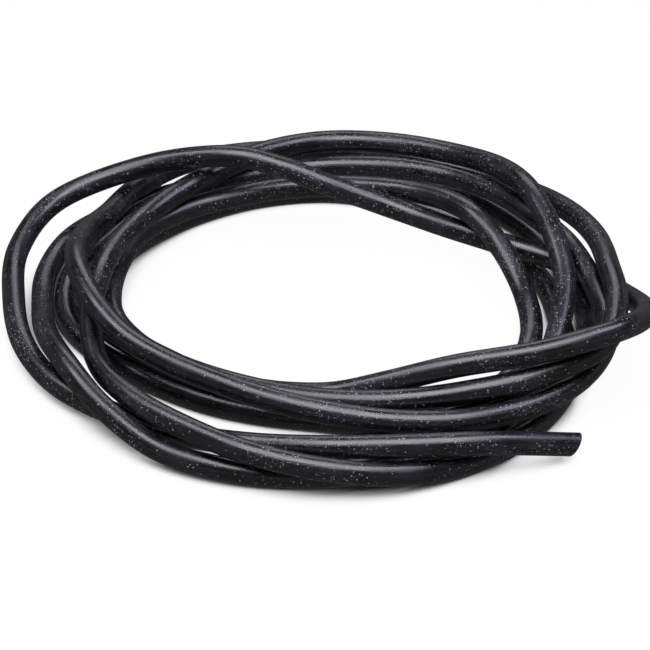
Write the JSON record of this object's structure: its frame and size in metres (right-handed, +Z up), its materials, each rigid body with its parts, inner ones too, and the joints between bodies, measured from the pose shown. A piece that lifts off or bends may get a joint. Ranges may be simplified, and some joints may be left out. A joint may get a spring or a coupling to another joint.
{
  "type": "soaker hose",
  "caption": "Soaker hose of black porous rubber lying in a loose flat coil, both ends cut bare.",
  "frame": {"origin": "on the floor under the middle of the coil's outline", "axes": "+Z up; the cut free end lies at the front right, towards +X and -Y"},
  "size_m": [0.3943, 0.3984, 0.0674],
  "materials": {
    "rubber": "satin"
  },
  "bodies": {
    "root": {"hose_coil": "rubber", "hose_free_end": "rubber"}
  },
  "joints": []
}
